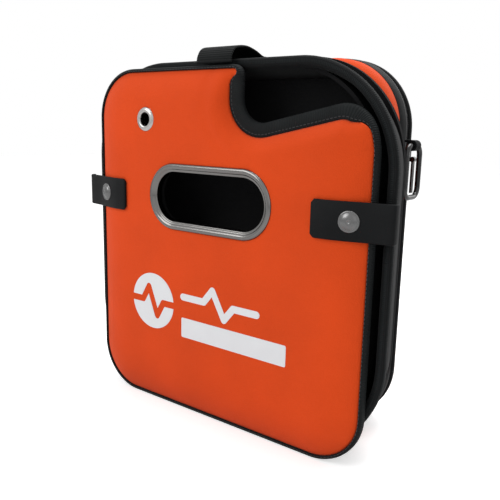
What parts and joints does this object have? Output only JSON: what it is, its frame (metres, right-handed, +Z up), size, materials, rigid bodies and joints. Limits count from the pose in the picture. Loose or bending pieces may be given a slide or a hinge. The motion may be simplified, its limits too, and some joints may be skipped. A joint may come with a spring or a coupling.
{
  "type": "defibrillator carry case",
  "caption": "Semi-rigid carry case for a portable defibrillator, with fold-down front cover, window, side straps, top loop and zipped back compartment.",
  "frame": {"origin": "middle of the case's box, on the surface it stands on", "axes": "+X across the case, +Y from the front cover to the back, +Z up"},
  "size_m": [0.3364, 0.1313, 0.337],
  "materials": {
    "orange_fabric": "fine knit over moulded foam",
    "black_lining": "brushed lining",
    "black_side_fabric": "fabric over moulded foam",
    "black_webbing": "woven tape",
    "zip_tape": "woven",
    "zip_coil": "satin",
    "black_piping": "satin",
    "dark_nickel": "polished dark nickel",
    "nickel": "polished nickel",
    "white_film": "satin film",
    "black_leather": "leather-like grain",
    "black_ring": "glossy",
    "zip_metal": "black enamel",
    "mesh_fabric": "open mesh"
  },
  "bodies": {
    "case": {"bay_back_pad": "black_lining", "bay_back_panel": "black_lining", "bay_lining": "black_lining", "bay_rim_binding": "black_webbing", "bay_wall": "black_side_fabric", "cover_hinge_strip": "black_webbing", "lid_hinge_strip": "black_webbing", "rear_shell": "orange_fabric", "ring_tab_left": "black_webbing", "ring_tab_right": "black_webbing", "shell_piping": "black_piping", "zip_tape_body": "zip_tape", "zip_teeth_body": "zip_coil"},
    "strap_left": {"strap_left": "black_leather", "snap_cap_left": "nickel"},
    "strap_right": {"strap_right": "black_leather", "snap_cap_right": "nickel"},
    "top_loop": {"top_loop_strap": "black_webbing"},
    "rear_lid": {"lid_shell": "orange_fabric", "lid_foam": "black_lining", "lid_piping": "black_piping", "lid_pocket": "mesh_fabric", "zip_tape_lid": "zip_tape", "zip_teeth_lid": "zip_coil"},
    "zip_slider": {"zip_slider": "zip_metal"},
    "zip_pull": {"zip_pull": "zip_metal"},
    "ring_left": {"ring_left": "black_ring"},
    "ring_right": {"ring_right": "black_ring"},
    "cover": {"cover_shell": "orange_fabric", "cover_foam": "black_lining", "cover_rim_binding": "black_webbing", "window_bezel": "dark_nickel", "window_backing": "nickel", "eyelet": "nickel", "eyelet_washer": "nickel", "printed_disc": "white_film", "printed_pulse": "white_film", "printed_strip": "white_film", "snap_stud_left": "nickel", "snap_stud_right": "nickel"}
  },
  "joints": [
    {"name": "cover_hinge", "type": "hinge", "parent": "case", "child": "cover", "pos_m": [0, -0.0462, 0], "axis": [1, 0, 0], "range_deg": [0, 90]},
    {"name": "strap_left_peel", "type": "hinge", "parent": "cover", "child": "strap_left", "pos_m": [-0.1675, -0.0497, 0.203], "axis": [0, 0, -1], "range_deg": [0, 110]},
    {"name": "strap_right_peel", "type": "hinge", "parent": "cover", "child": "strap_right", "pos_m": [0.1675, -0.0497, 0.203], "axis": [0, 0, 1], "range_deg": [0, 110]},
    {"name": "top_loop_lift", "type": "hinge", "parent": "cover", "child": "top_loop", "pos_m": [-0.005, -0.0547, 0.3202], "axis": [1, 0, 0], "range_deg": [0, 100]},
    {"name": "lid_hinge", "type": "hinge", "parent": "case", "child": "rear_lid", "pos_m": [0, 0.0355, 0], "axis": [-1, 0, 0], "range_deg": [0, 90]},
    {"name": "zip_slide", "type": "slide", "parent": "case", "child": "zip_slider", "axis": [0, 0, -1], "range_m": [0, 0.14]},
    {"name": "zip_pull_swing", "type": "hinge", "parent": "zip_slider", "child": "zip_pull", "pos_m": [0.1403, 0.0355, 0.246], "axis": [0, -1, 0], "range_deg": [0, 150]},
    {"name": "ring_left_swing", "type": "hinge", "parent": "case", "child": "ring_left", "pos_m": [-0.149, 0.0143, 0.258], "axis": [0, 1, 0], "range_deg": [0, 90]},
    {"name": "ring_right_swing", "type": "hinge", "parent": "case", "child": "ring_right", "pos_m": [0.149, 0.0143, 0.258], "axis": [0, -1, 0], "range_deg": [0, 90]}
  ]
}
